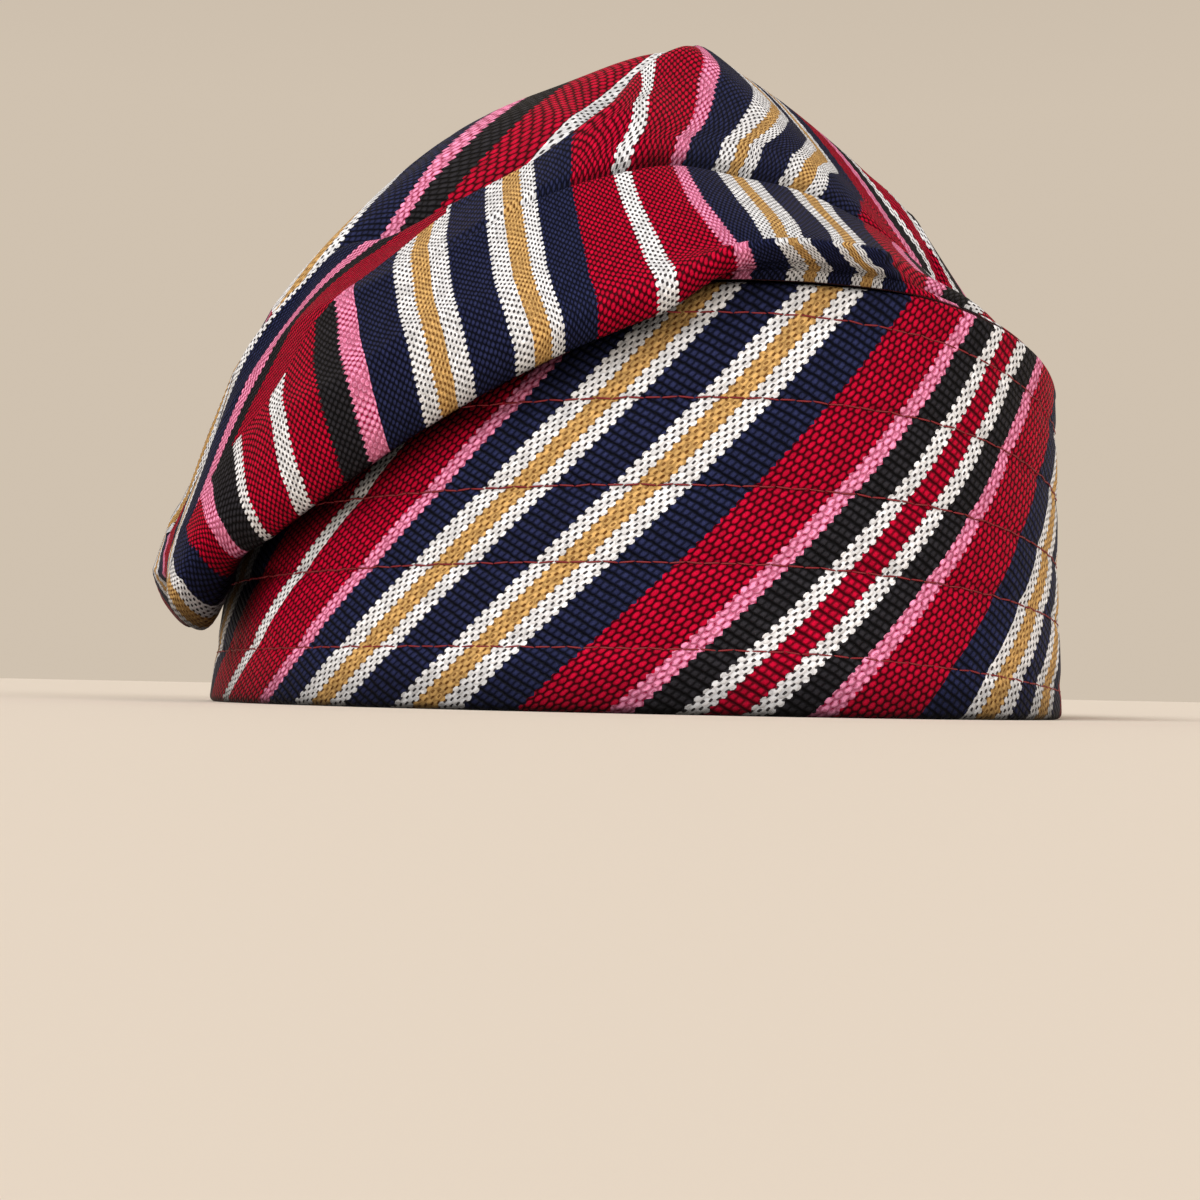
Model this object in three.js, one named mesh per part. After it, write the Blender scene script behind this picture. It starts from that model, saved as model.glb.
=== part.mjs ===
// Fila cap: a stiff standing band, and a soft crown that rolls over the band's top edge, folds into
// one long pleat and hangs down as a flap over the wearer's right front.
// Millimetres, +Z up. The wearer looks along -Y, and the wearer's right is -X.
// A bearing is in degrees around the cap, from the wearer's front (0) towards the right (90).
import * as THREE from 'three';

// Driving sizes of the band.
const HALF_WIDTH = 80;
const HALF_LENGTH = 98;
const BAND_WALL = 3;
const HEM_ROUND = 0.8;
const BAND_DRAW_IN = 5.7;
const BAND_LEAN = { x: 2.5, y: -1.7 };
const DRAWN_HEIGHT = 72;

// Height of the band's top edge: highest where the flap covers it, lowest at the wearer's left.
const BAND_TOP = table(['bearing', 'height'], [
  [-125, 66], [-60, 65], [-33, 65.5], [-20, 69], [-8, 72.5], [5, 75.2], [35, 75.5], [95, 72], [155, 68],
]);

// Driving sizes of the crown. Its profiles run from the seam on the band up to one point, the pole,
// on the layer behind the pleat. That layer is a tilted dome around the pole.
const CLOTH = 1.2;
const SEAM_INSET = 1.8;
const SEAM_GAP = 0.35;
const POLE = { x: -26, y: 24, height: 124.5 };
const DOME = { reach: 24, fall: 5, slope: { x: 0.62, y: -0.24 } };
const EDGE_HEIGHT = 70;

// Next to the seam the cloth slopes straight in over the head, folds out in a thin lip, or hangs down
// outside the band. Each short table gives bends as [out, up] from the outer side of the band's edge.
const STRAIGHT_BENDS = [[-2.8, 1.4], [-4.8, 2.6], [-6.5, 3.6], [-8.2, 4.8], [-10.8, 6.4]];
const LIP_BENDS = [[-1, 2.4], [0.4, 3], [1.6, 3.5]];
const LIP_RISE = 6;
const HUMP = { out: -0.3, up: 2.1 };
const SHOULDER_DROP = 1.2;
const LEG_CLEARANCE = 1.5;
const TURN_SHARE = 0.45;
const TURN_RISE = 4.5;
const HANGS_FULLY_AT_DROP = 6;
const ROLL_STARTS_OUT = -2.5;
const ROLL_FULL_OUT = 2.5;

// The pleat tucks in behind its edge, and the layer behind it bulges on its way up to the dome.
const TUCK_SLANT = { back: 0.7, down: 0.8 };
const TUCK_TURN = { back: 1, up: 0.5 };
const TUCK_FULL = 2;
const SOFT_SHARE = 0.08;
const FLANK_SHARE = 0.42;
const FLANK_BULGE = 0.05;
const FLANK_SPREAD = 12;
const EDGE_CLEARANCE = 3;
const EDGE_RISE = 2;

// Shares of the way at which the shelf and the facet behind it keep straight.
const SHELF_SHARES = [0.2, 0.85];
const FACET_SHARES = [0.25, 0.75];

// One row for each direction from the pole in which the folds change.
// drop, out: how far the roll hangs below the band's top edge and stands out from it.
// brow, crease, ridge: distance from the pole and height of the shelf's front lip, of the valley behind
// the shelf, and of the pleat's edge. tuck: depth of the pleat behind its edge.
const CROWN = table(
  ['bearing', 'drop', 'out', 'browReach', 'browHeight', 'creaseReach', 'creaseHeight',
    'ridgeReach', 'ridgeHeight', 'tuck'],
  [
    [-130, 0, -3, 83, 87, 77, 102, 60, 115, 0],
    [-100, 0, -3, 95, 84, 85, 102, 60, 121, 0],
    [-77, 0, -3, 101, 83, 90, 103, 58, 128, 0],
    [-55, 0, -3, 108, 87, 94, 109.5, 50, 139.5, 0],
    [-45, 0, -3, 112, 79, 102, 89, 49.5, 140, 0],
    [-37, 0, -3, 112, 78, 90, 98.5, 50, 138, 1],
    [-29, 0, -3, 113, 78, 82, 103, 50, 136, 3],
    [-21, 0, -3, 113, 79, 78, 104.5, 49, 132.5, 4],
    [-10, 0, 0, 113, 81, 76, 104, 51, 126.5, 5],
    [0, 0, 5, 110, 82, 77, 103.5, 58, 120, 6],
    [8, 3.2, 6, 105, 80.5, 80, 101, 65, 113.5, 6],
    [20, 11.6, 9, 97, 75, 77, 95, 60, 103, 6],
    [35, 22.8, 11, 87, 68, 75, 83, 52, 96, 6],
    [48, 31.4, 12, 79, 58, 69, 77, 49, 91, 5],
    [65, 39.8, 15, 69, 51, 61, 71, 48, 88, 3],
    [76, 44, 19, 67, 43, 63, 58, 58.5, 70.5, 1.5],
    [87, 56, 21, 67, 32, 63, 43, 59, 52, 4],
    [99, 50, 17, 64, 26, 64, 30, 63, 34, 3],
    [110, 53, 17.5, 64.5, 27, 63, 32, 61, 38, 0],
    [123, 53, 17.5, 63.5, 26, 62.5, 33, 58.5, 43, 0],
    [140, 45, 17, 65, 38, 62, 46, 59, 55, 0],
    [160, 31, 14, 68, 55, 65, 64, 61, 73, 0],
    [190, 11, 9, 78, 79, 72, 92, 60, 105, 0],
    [208, 1, 6, 84, 85, 77, 98, 60, 111, 0],
  ],
);

// Facets.
const BAND_STEPS = 80;
const CROWN_STEPS = 80;
const SPAN_STEPS = [1, 2, 1, 2, 2, 2, 1, 2, 1, 1, 2, 1, 2, 2, 2, 2];

// Cloth colours: one crimson for the whole cap, a shade darker on the band.
const BAND_COLOUR = 0x8e1026;
const CROWN_COLOUR = 0xa3122e;
const CLOTH_ROUGHNESS = 0.85;

// Reads a table whose first column is the bearing, as a smooth closed curve through its rows.
function table(names, rows) {
  const count = rows.length;
  const rowAt = (i) => rows[((i % count) + count) % count];
  const bearingAt = (i) => rowAt(i)[0] + 360 * Math.floor(i / count);
  const slopeAt = (i, c) => (rowAt(i + 1)[c] - rowAt(i - 1)[c]) / (bearingAt(i + 1) - bearingAt(i - 1));
  return (bearing) => {
    const wrapped = THREE.MathUtils.euclideanModulo(bearing - rows[0][0], 360) + rows[0][0];
    let i = 0;
    while (bearingAt(i + 1) <= wrapped) i += 1;
    const span = bearingAt(i + 1) - bearingAt(i);
    const t = (wrapped - bearingAt(i)) / span;
    const blend = (c) =>
      rowAt(i)[c] * (2 * t ** 3 - 3 * t ** 2 + 1) + span * slopeAt(i, c) * (t ** 3 - 2 * t ** 2 + t)
      + rowAt(i + 1)[c] * (3 * t ** 2 - 2 * t ** 3) + span * slopeAt(i + 1, c) * (t ** 3 - t ** 2);
    return Object.fromEntries(names.map((name, c) => [name, c === 0 ? bearing : blend(c)]));
  };
}

function heading(bearing) {
  const angle = THREE.MathUtils.degToRad(bearing);
  return { x: -Math.sin(angle), y: -Math.cos(angle) };
}

// The band's cross-section at a height: an ellipse that draws in and leans as it rises.
function bandRing(grow, height) {
  const share = height / DRAWN_HEIGHT;
  return {
    halfWidth: HALF_WIDTH + grow - BAND_DRAW_IN * share,
    halfLength: HALF_LENGTH + grow - BAND_DRAW_IN * share,
    x: BAND_LEAN.x * share,
    y: BAND_LEAN.y * share,
  };
}

// Distance from a start point, along a bearing, to the band's cross-section.
function reachTo(start, bearing, grow, height) {
  const ring = bandRing(grow, height);
  const dir = heading(bearing);
  const from = { x: (start.x - ring.x) / ring.halfWidth, y: (start.y - ring.y) / ring.halfLength };
  const way = { x: dir.x / ring.halfWidth, y: dir.y / ring.halfLength };
  const a = way.x ** 2 + way.y ** 2;
  const b = from.x * way.x + from.y * way.y;
  const c = from.x ** 2 + from.y ** 2 - 1;
  return (Math.sqrt(b * b - a * c) - b) / a;
}

function bandPoint(bearing, grow, height) {
  const ring = bandRing(grow, height);
  const dir = heading(bearing);
  const radius = reachTo(ring, bearing, grow, height);
  return new THREE.Vector3(ring.x + radius * dir.x, ring.y + radius * dir.y, height);
}

// Height of the band's top edge below a point of the crown's seam.
function topUnder(bearing, reach) {
  const ring = bandRing(0, EDGE_HEIGHT);
  const dir = heading(bearing);
  const x = POLE.x + reach * dir.x - ring.x;
  const y = POLE.y + reach * dir.y - ring.y;
  return BAND_TOP(THREE.MathUtils.radToDeg(Math.atan2(-x, -y))).height;
}

function domeBend(bearing, side) {
  const dir = heading(bearing);
  const tilt = side * DOME.reach * (DOME.slope.x * dir.x + DOME.slope.y * dir.y);
  return new THREE.Vector3(side * DOME.reach, POLE.height + tilt - DOME.fall, 0);
}

// Bend points of the crown's cloth in one direction from the pole, as (reach, height): from the seam
// on the band to the pole, and one more on the dome beyond it.
function crownBends(bearing) {
  const { lerp, smoothstep, clamp } = THREE.MathUtils;
  const bend = (reach, height) => new THREE.Vector3(reach, height, 0);
  const fold = CROWN(bearing);
  const edge = reachTo(POLE, bearing, BAND_WALL, EDGE_HEIGHT);
  const top = topUnder(bearing, edge);
  const drop = Math.max(fold.drop, 0);
  const low = top - drop;
  const foot = Math.max(edge, reachTo(POLE, bearing, BAND_WALL, clamp(low, 0, top)));
  const rolled = smoothstep(fold.out, ROLL_STARTS_OUT, ROLL_FULL_OUT);
  const hanging = smoothstep(drop, 0, HANGS_FULLY_AT_DROP);

  const fromEdge = ([out, up]) => bend(edge + out, top + up);
  const lip = [
    ...LIP_BENDS.map(fromEdge),
    bend(edge + lerp(LEG_CLEARANCE, fold.out, TURN_SHARE), top + LIP_RISE - HUMP.up),
    bend(edge + fold.out, top + LIP_RISE),
  ];
  const hang = [
    bend(edge + HUMP.out, top + HUMP.up),
    bend(edge + LEG_CLEARANCE, top - SHOULDER_DROP),
    bend((edge + foot) / 2 + LEG_CLEARANCE, top - drop / 2),
    bend(lerp(foot + LEG_CLEARANCE, edge + fold.out, TURN_SHARE), low),
    bend(edge + fold.out, low + TURN_RISE),
  ];
  const start = STRAIGHT_BENDS.map((straight, i) =>
    fromEdge(straight).lerp(lip[i].lerp(hang[i], hanging), rolled));

  const brow = bend(fold.browReach, fold.browHeight);
  const crease = bend(fold.creaseReach, fold.creaseHeight);
  const ridge = bend(fold.ridgeReach, fold.ridgeHeight);
  const dome = domeBend(bearing, 1);
  const between = (from, to, share) => from.clone().lerp(to, share);
  const sharpTuck = bend(
    fold.ridgeReach - TUCK_SLANT.back * fold.tuck - TUCK_TURN.back,
    fold.ridgeHeight - TUCK_SLANT.down * fold.tuck + TUCK_TURN.up,
  );
  const tucked = between(ridge, dome, SOFT_SHARE).lerp(sharpTuck, smoothstep(fold.tuck, 0, TUCK_FULL));
  const bulge = bend(FLANK_BULGE * (dome.y - tucked.y), FLANK_BULGE * (tucked.x - dome.x));
  const flank = between(tucked, dome, FLANK_SHARE).add(bulge);
  // Where the pleat ends low down, the layer behind it passes clear of the seam on the band's edge.
  const belowEdge = smoothstep(top - tucked.y, -FLANK_SPREAD / 2, FLANK_SPREAD / 2);
  flank.lerp(bend(edge + EDGE_CLEARANCE, top + EDGE_RISE), belowEdge);

  return [
    bend(edge - SEAM_INSET, top + SEAM_GAP),
    ...start,
    brow,
    ...SHELF_SHARES.map((share) => between(brow, crease, share)),
    crease,
    ...FACET_SHARES.map((share) => between(crease, ridge, share)),
    ridge,
    tucked,
    flank,
    dome,
    bend(0, POLE.height),
    domeBend(bearing, -1),
  ];
}

// The cloth's two faces in one direction, each a list of points from the seam to the pole.
function crownFaces(bearing) {
  const bends = crownBends(bearing);
  const curve = new THREE.CatmullRomCurve3(bends, false, 'centripetal');
  const spans = bends.length - 1;
  const dir = heading(bearing);
  const faces = { outer: [], inner: [] };
  const addPoint = (t, upright) => {
    const point = curve.getPoint(t);
    const along = curve.getTangent(t);
    const side = upright ?? new THREE.Vector3(along.y, -along.x, 0);
    for (const [name, sign] of [['outer', 0.5], ['inner', -0.5]]) {
      const place = point.clone().addScaledVector(side, sign * CLOTH);
      faces[name].push(new THREE.Vector3(POLE.x + place.x * dir.x, POLE.y + place.x * dir.y, place.y));
    }
  };
  addPoint(0, new THREE.Vector3(1, 0, 0));
  SPAN_STEPS.forEach((steps, span) => {
    for (let step = span === 0 ? 1 : 0; step < steps; step += 1) addPoint((span + step / steps) / spans);
  });
  addPoint(SPAN_STEPS.length / spans, new THREE.Vector3(0, 1, 0));
  return faces;
}

function clothMesh(name, points, triangles, colour) {
  const geometry = new THREE.BufferGeometry().setFromPoints(points);
  geometry.setIndex(triangles);
  geometry.computeVertexNormals();
  const material = new THREE.MeshStandardMaterial({ color: colour, roughness: CLOTH_ROUGHNESS, metalness: 0 });
  const mesh = new THREE.Mesh(geometry, material);
  mesh.name = name;
  return mesh;
}

// Two triangles between neighbouring rings of points; the rings run towards rising bearings.
function ringQuads(lower, upper, steps) {
  const triangles = [];
  for (let step = 0; step < steps; step += 1) {
    const next = (step + 1) % steps;
    triangles.push(lower + step, upper + step, upper + next, lower + step, upper + next, lower + next);
  }
  return triangles;
}

function makeBand() {
  const loop = [];
  const section = (bearing) => {
    const top = BAND_TOP(bearing).height;
    return [
      [HEM_ROUND, 0], [BAND_WALL - HEM_ROUND, 0], [BAND_WALL, HEM_ROUND], [BAND_WALL, top - HEM_ROUND],
      [BAND_WALL - HEM_ROUND, top], [0, top], [0, HEM_ROUND],
    ];
  };
  for (let step = 0; step < BAND_STEPS; step += 1) {
    const bearing = (360 * step) / BAND_STEPS;
    loop.push(section(bearing).map(([grow, height]) => bandPoint(bearing, grow, height)));
  }
  const rings = loop[0].length;
  const points = [];
  const triangles = [];
  for (let ring = 0; ring < rings; ring += 1) {
    points.push(...loop.map((corners) => corners[ring]));
    triangles.push(...ringQuads(ring * BAND_STEPS, ((ring + 1) % rings) * BAND_STEPS, BAND_STEPS));
  }
  return clothMesh('band', points, triangles, BAND_COLOUR);
}

function makeCrown() {
  const columns = [];
  for (let step = 0; step < CROWN_STEPS; step += 1) columns.push(crownFaces((360 * step) / CROWN_STEPS));
  const rings = columns[0].outer.length - 1;
  const points = [];
  const triangles = [];
  for (const face of ['inner', 'outer']) {
    for (let ring = 0; ring < rings; ring += 1) points.push(...columns.map((column) => column[face][ring]));
  }
  const innerPole = points.push(columns[0].inner[rings]) - 1;
  const outerPole = points.push(columns[0].outer[rings]) - 1;
  const innerStart = 0;
  const outerStart = rings * CROWN_STEPS;
  const lastRing = (rings - 1) * CROWN_STEPS;
  triangles.push(...ringQuads(innerStart, outerStart, CROWN_STEPS));
  for (let ring = 0; ring < rings - 1; ring += 1) {
    const low = ring * CROWN_STEPS;
    triangles.push(...ringQuads(outerStart + low, outerStart + low + CROWN_STEPS, CROWN_STEPS));
    triangles.push(...ringQuads(innerStart + low + CROWN_STEPS, innerStart + low, CROWN_STEPS));
  }
  for (let step = 0; step < CROWN_STEPS; step += 1) {
    const next = (step + 1) % CROWN_STEPS;
    triangles.push(outerStart + lastRing + step, outerPole, outerStart + lastRing + next);
    triangles.push(innerStart + lastRing + next, innerPole, innerStart + lastRing + step);
  }
  return clothMesh('crown', points, triangles, CROWN_COLOUR);
}

const cap = new THREE.Group();
cap.add(makeBand(), makeCrown());

// The origin is under the middle of the cap, on the surface that its rim stands on.
const middle = new THREE.Box3().setFromObject(cap).getCenter(new THREE.Vector3());
cap.position.set(-middle.x, -middle.y, 0);

export default cap;
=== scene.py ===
"""Fila cap in striped hand-woven cloth: a stiff quilted band, and a soft crown that folds into one long
pleat and hangs over the band as a flap. Sizes are in millimetres until the meshes are made.

A bearing is in degrees around the cap, from the wearer's front (0) towards the right (90)."""

import math

import bpy
import numpy as np
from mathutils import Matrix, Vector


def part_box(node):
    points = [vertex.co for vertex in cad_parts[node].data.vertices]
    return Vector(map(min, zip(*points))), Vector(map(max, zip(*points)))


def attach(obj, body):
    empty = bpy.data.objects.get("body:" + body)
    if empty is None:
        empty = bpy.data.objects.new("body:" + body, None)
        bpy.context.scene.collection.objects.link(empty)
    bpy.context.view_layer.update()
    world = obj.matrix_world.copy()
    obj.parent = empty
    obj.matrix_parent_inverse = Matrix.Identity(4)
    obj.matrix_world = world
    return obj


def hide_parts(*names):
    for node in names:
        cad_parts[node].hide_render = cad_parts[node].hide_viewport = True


MM = 0.001

# The photograph's view: bearing, distance from the rim's middle, height, roll, lens and picture shift.
VIEW_BEARING = 35.0
VIEW_DISTANCE = 480.0
VIEW_HEIGHT = 4.0
VIEW_ROLL = 0.0202
LENS = 67.34
SENSOR = 36.0
SHIFT = (-0.0167, 0.0754)
LENS_NEAR = 0.005

# Stage, in metres. The surround has one strength below a height of the direction and another overhead,
# given as height, strength, height, strength.
FLOOR_REACH = 40.0
FLOOR_COLOUR = (228, 218, 206)
FLOOR_ROUGHNESS = 0.8
SURROUND_COLOUR = (220, 205, 186)
SURROUND = (0.25, 0.88, 1.0, 0.42)
LAMPS = [
    # name, bearing, degrees above the floor, degrees across, strength
    ("key", 68, 47, 30, 2.1),
    ("fill", -10, 24, 50, 0.85),
]

# Band.
HALF_WIDTH = 80.0
HALF_LENGTH = 98.0
BAND_WALL = 3.0
BAND_DRAW_IN = 5.7
BAND_LEAN = (2.5, -1.7)
DRAWN_HEIGHT = 72.0
BAND_TOP = [
    # bearing, height
    (-125, 66), (-60, 65), (-33, 65.5), (-20, 69), (-8, 72.5), (5, 75.2), (35, 75.5), (95, 72), (155, 68),
]
EDGE_ROUND = 1.3
BAND_SEAM_BEARING = 215
BAND_STEPS = 480
BAND_RINGS = 84
LINING_RINGS = 6
EDGE_RINGS = 4
RIM_STEP = 0.1
LINING_COLOUR = (74, 16, 26)
LINING_ROUGHNESS = 0.9

# Quilting: rows of stitches as shares of the band's height, how far they fall towards the wearer's left,
# how the cloth pulls in along them, and how the wall sways, in waves along the rim that turn as they rise.
STITCH_ROWS = (0.148, 0.346, 0.525, 0.728, 0.926)
ROW_FALL = [
    # bearing, share of the height
    (-140, 0.03), (-60, 0.06), (-25, 0.06), (0, 0.025), (22, 0), (120, 0), (180, 0),
]
PINCH_DEPTH = 0.45
PINCH_WIDTH = 2.0
PUCKER_DEPTH = 0.12
PUCKER_LENGTH = 7.0
PUCKER_SHIFT = 2.0
SWAY_DEPTH = 0.25
SWAY_STARTS = 0.1
SWAY_WAVES = ((21.0, 5.0), (37.0, 4.0))
ROW_STEP = 0.25
STITCH_LENGTH = 2.8
STITCH_GAP = 0.15
STITCH_RADIUS = 0.17
STITCH_SINK = 0.1
STITCH_SWING = 0.2
STITCH_TURN = 2.4
STITCH_SIDES = 6
STITCH_SECTIONS = ((0.0, 0.35), (0.12, 0.9), (0.5, 1.0), (0.88, 0.9), (1.0, 0.35))
THREAD_COLOUR = (124, 9, 22)
THREAD_ROUGHNESS = 0.6

# Crown. Its profiles run from the seam on the band up to the pole, on the layer behind the pleat.
CLOTH = 1.2
SEAM_INSET = 1.8
SEAM_GAP = 0.35
POLE = (-26.0, 24.0)
POLE_HEIGHT = 124.5
DOME_REACH = 24.0
DOME_FALL = 5.0
DOME_SLOPE = (0.62, -0.24)
EDGE_HEIGHT = 70.0

# Bends next to the seam, as (out, up) from the band's edge.
STRAIGHT_BENDS = ((-3.2, 0.7), (-6.2, 1.2), (-7.6, 2.3), (-7.8, 4.2), (-9.6, 6.6))
LIP_BENDS = ((-1, 2.4), (0.4, 3), (1.6, 3.5))
LIP_RISE = 6.0
HUMP = (-0.3, 2.1)
SHOULDER_DROP = 1.2
LEG_CLEARANCE = 1.5
TURN_SHARE = 0.45
TURN_RISE = 4.5
HANGS_FULLY_AT_DROP = 6.0
ROLL_STARTS_OUT = -2.5
ROLL_FULL_OUT = 2.5
TUCK_SLANT = (0.7, 0.8)
TUCK_TURN = (1.0, 0.5)
TUCK_FULL = 2.0
SOFT_SHARE = 0.08
FLANK_SHARE = 0.42
FLANK_BULGE = 0.05
FLANK_SPREAD = 12.0
EDGE_CLEARANCE = 3.0
EDGE_RISE = 2.0
SHELF_SHARES = (0.2, 0.85)
FACET_SHARES = (0.25, 0.75)
CROWN = [
    # bearing, drop, out, brow reach and height, crease reach and height, ridge reach and height, tuck
    (-130, 0, -3, 83, 87, 77, 102, 60, 115, 0),
    (-100, 0, -3, 95, 84, 85, 102, 60, 121, 0),
    (-77, 0, -3, 101, 83, 90, 103, 58, 128, 0),
    (-55, 0, -3, 108, 87, 94, 109.5, 50, 139.5, 0),
    (-45, 0, -3, 112, 79, 102, 89, 49.5, 140, 0),
    (-37, 0, -3, 112, 78, 90, 98.5, 50, 138, 1),
    (-29, 0, -3, 113, 78, 82, 103, 50, 136, 3),
    (-21, 0, -3, 113, 79, 78, 104.5, 49, 132.5, 4),
    (-10, 0, 0, 113, 81, 76, 104, 51, 126.5, 5),
    (0, 0, 5, 110, 82, 77, 103.5, 58, 120, 6),
    (8, 3.2, 6, 105, 80.5, 80, 101, 65, 113.5, 6),
    (20, 11.6, 9, 97, 75, 77, 95, 60, 103, 6),
    (35, 22.8, 11, 87, 68, 75, 83, 52, 96, 6),
    (48, 31.4, 12, 79, 58, 69, 77, 49, 91, 5),
    (65, 39.8, 15, 69, 51, 61, 71, 48, 88, 3),
    (76, 44, 19, 67, 43, 63, 58, 58.5, 70.5, 1.5),
    (87, 56, 21, 67, 32, 63, 43, 59, 52, 4),
    (99, 50, 17, 64, 26, 64, 30, 63, 34, 3),
    (110, 53, 17.5, 64.5, 27, 63, 32, 61, 38, 0),
    (123, 53, 17.5, 63.5, 26, 62.5, 33, 58.5, 43, 0),
    (140, 45, 17, 65, 38, 62, 46, 59, 55, 0),
    (160, 31, 14, 68, 55, 65, 64, 61, 73, 0),
    (190, 11, 9, 78, 79, 72, 92, 60, 105, 0),
    (208, 1, 6, 84, 85, 77, 98, 60, 111, 0),
]
CROWN_SEAM_BEARING = 205
CROWN_STEPS = 360
FRONT_RINGS = 76
STRIP_RINGS = 24
BACK_RINGS = 34
LEAST_STRIDE = 1e-4

# Places along a profile count its bends from the seam. These are the crease, and the pole.
CREASE = 9
TOP = 16

# The crease between shelf and facet is pressed in.
CREASE_SPREAD = 0.32
CREASE_DEPTH = [
    # bearing, depth
    (-150, 0), (-75, 0), (-52, 0.8), (-40, 2.2), (-10, 3.2), (12, 2.8), (28, 0.8), (45, 0), (120, 0),
]

# The facet above the crease swells out around a place.
SWELL_MIDDLE = 10.8
SWELL_SPREAD = 0.9
SWELL = [
    # bearing, depth
    (-140, 0), (-95, 0.6), (-70, 2), (-52, 2.6), (-36, 2.4), (-20, 2.4), (0, 2.4), (12, 1.5), (25, 0.3),
    (40, 0), (100, 0),
]

# The mitre: the place on each profile where the front panel's stripes end against those of the side
# strip, and the bearings where strip and back layer start and end.
MITRE = [
    # bearing, place
    (-150, 9), (0, 9.5), (20, 11.2), (34, 11.3), (44, 10.4), (50, 9.6), (55.5, 8.2), (60, 7.5), (66, 7.1),
    (75, 6.8), (81, 5.9), (86, 5.6), (92, 4.8), (100, 4.2), (115, 5), (140, 9),
]
STRIP_STARTS = 35
STRIP_ENDS = 96
BACK_ENDS = 103

# Where the strip goes over into the back layer: at the pleat's edge, and past it at the flap's outer fold.
STRIP_EDGE = [
    # bearing, place
    (-150, 12), (0, 12), (50, 12), (60, 12), (66, 12.8), (74, 13.8), (90, 14.2), (130, 14.2), (160, 13),
    (190, 12),
]

# Cloth: hand-woven, with warp rods on top of each second pick, and slots between the threads of closed
# stripes. Widths and lengths are half of the rod's or slot's own, as shares of the pitches. Recesses get
# painted shade, a darkening of the colour by an ambient-occlusion node, up to a reach in metres.
WEAVES = {
    # rods: end pitch, pick pitch, width, length; slots: the same; lean of the picks, ribs, reach of the
    # painted recess shade
    "band": ((0.64, 1.7, 0.88, 0.55), (0.8, 1.0, 0.3, 0.44), 0.31, 1.0, 0.012),
    "crown": ((0.64, 0.82, 0.62, 0.76), (0.68, 0.72, 0.34, 0.46), 0.0, 0.25, 0.03),
    "back": ((0.62, 1.5, 0.88, 0.56), (0.8, 1.0, 0.3, 0.44), 0.0, 1.0, 0.03),
}
STEPPED = 0.8
ROD_SQUARE = 2.3
SLOT_SQUARE = 4.0

# Gaps, from where they begin to where they are full, and how far rods still show in ribs and in closed
# stripes.
ROD_GAP = (0.25, 1.2)
ROW_GAP = (0.15, 0.5)
SLOT_EDGE = (0.3, 1.4)
RODS_IN_RIBS = 0.45
RODS_IN_CLOSED = 0.2

# Shades as (source range, range of shades): by chance, from a rod's middle to its edge, by fibres, and from
# closed recesses to open cloth. A rod's middle gets a painted highlight and its edge painted shade; closed
# recesses get painted shade from an ambient-occlusion node.
CHANCE = ((0.0, 1.0), (0.8, 1.15))
CREST_PAINTED_HIGHLIGHT = ((0.0, 1.0), (1.35, 0.6))
FUZZ = ((0.3, 0.7), (0.78, 1.18))
RECESS_PAINTED_SHADE = ((0.4, 1.0), (0.1, 1.0))
PAINTED_SHADE_SAMPLES = 6

# Relief: how much rods and gaps fall away, and the bump's strength and depth in metres.
ROD_RELIEF = 0.4
GAP_RELIEF = 0.6
BUMP_STRENGTH = 0.9
BUMP_DEPTH = 0.0003
CLOTH_ROUGHNESS = 0.5
CLOTH_GLOSS = 0.035

# Rows of weave on the crown: their scale above the crease, and the bearings to the wearer's left between
# which they come to lie further along the cloth, and how far.
FACET_ROWS = 0.62
ROWS_SLANT = (28, 120, 108)

# Hand weaving: how far threads wander, in shares of the pitches, how often, and how fine the fibres are.
WANDER = (0.5, 0.3)
WANDER_PER_MM = 0.7
FIBRES_PER_MM = 3.5

# Stripes are named by colour: the threads on top, in sRGB, and how far they close up; the ground that shows
# between them, and how far its rods run together as ribs. THREAD and GROUND are their first columns.
THREAD = 0
GROUND = 2
RAMP_STOPS = 30
COLOURS = {
    "red": ((174, 5, 44), 0.0, (52, 0, 8), 0.0),
    "ribbed red": ((174, 5, 44), 0.0, (52, 0, 8), 1.0),
    "navy": ((34, 39, 72), 0.0, (5, 6, 15), 1.0),
    "black": ((39, 38, 43), 0.0, (7, 6, 7), 1.0),
    "white": ((243, 245, 250), 1.0, (66, 63, 66), 0.0),
    "gold": ((214, 172, 108), 0.8, (104, 62, 24), 0.0),
    "pink": ((246, 152, 194), 0.5, (150, 16, 60), 0.0),
}
PAIR = [
    # colour, width
    ("navy", 7.8), ("white", 3.6), ("gold", 4.2), ("white", 3.6), ("navy", 7.8),
    ("white", 3.6), ("gold", 4.2), ("white", 3.6), ("navy", 7.8),
]
BAND_CHART = [
    ("red", 11.3), ("white", 3.4), ("red", 12.5), ("pink", 3.6),
    ("navy", 7.1), ("white", 3.7), ("gold", 3.8), ("white", 3.7), ("navy", 8.3),
    ("white", 3.6), ("gold", 4), ("white", 3.7), ("navy", 9.2),
    ("red", 11.9), ("pink", 3.3), ("black", 5.3), ("white", 3.2), ("ribbed red", 4.9), ("white", 2.7),
    ("black", 5.4), ("pink", 2.7), ("red", 11.9),
    ("navy", 7.3), ("white", 2.8), ("gold", 4), ("white", 3.1), ("navy", 5),
    ("white", 3), ("gold", 4), ("white", 3), ("navy", 7),
]
SIDE_CHART = [
    ("navy", 6), ("white", 3), ("gold", 3.6), ("white", 3), ("navy", 6),
    ("red", 6), ("pink", 3.6), ("black", 4.2), ("white", 1.8), ("red", 9), ("white", 3.6),
    ("red", 9), ("black", 5.4), ("pink", 3.6),
    *PAIR,
    ("red", 9.6), ("white", 3.6), ("red", 9.6), ("pink", 3.6),
    *PAIR,
    ("red", 9), ("pink", 3.6), ("black", 5.4), ("white", 3), ("red", 5.4), ("white", 3),
    ("black", 5.4), ("pink", 3), ("red", 10.8),
]
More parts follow.
